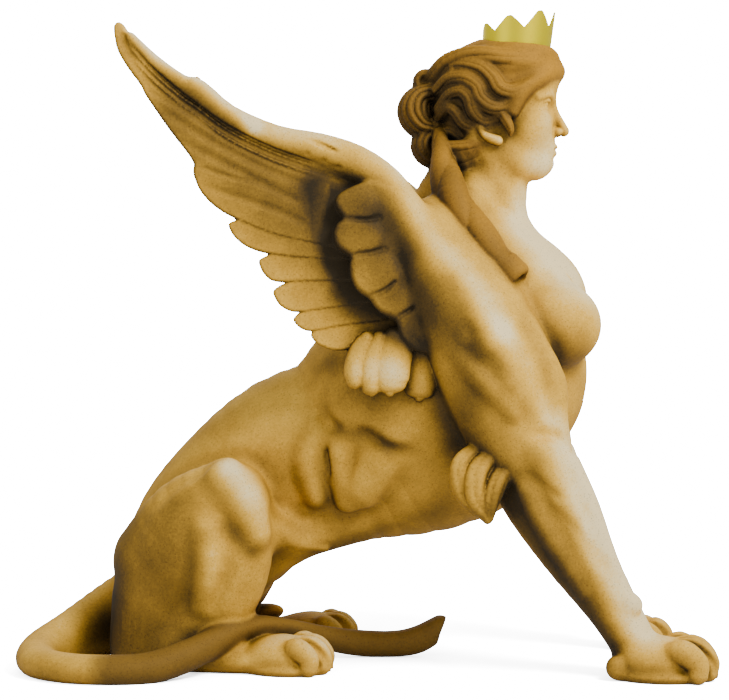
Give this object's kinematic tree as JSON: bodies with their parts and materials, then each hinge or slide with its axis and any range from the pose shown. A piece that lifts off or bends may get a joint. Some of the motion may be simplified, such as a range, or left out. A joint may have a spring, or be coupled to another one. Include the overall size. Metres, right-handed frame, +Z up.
{
  "type": "sphinx statue",
  "caption": "Seated winged sphinx with a lion's body, a woman's head with waved hair, raised wings, a long tail and a small gilt crown.",
  "frame": {"origin": "middle of the statue's box, on the ground that its paws, haunches and tail stand on", "axes": "+X the way that the sphinx faces, +Y its left side, +Z up"},
  "size_m": [1.1057, 0.6231, 1.0529],
  "materials": {
    "stone": "carved ochre stone, fine speckled grain, matt",
    "gilt": "gilt, satin"
  },
  "bodies": {
    "root": {"sphinx": "stone", "crown": "gilt"}
  },
  "joints": []
}
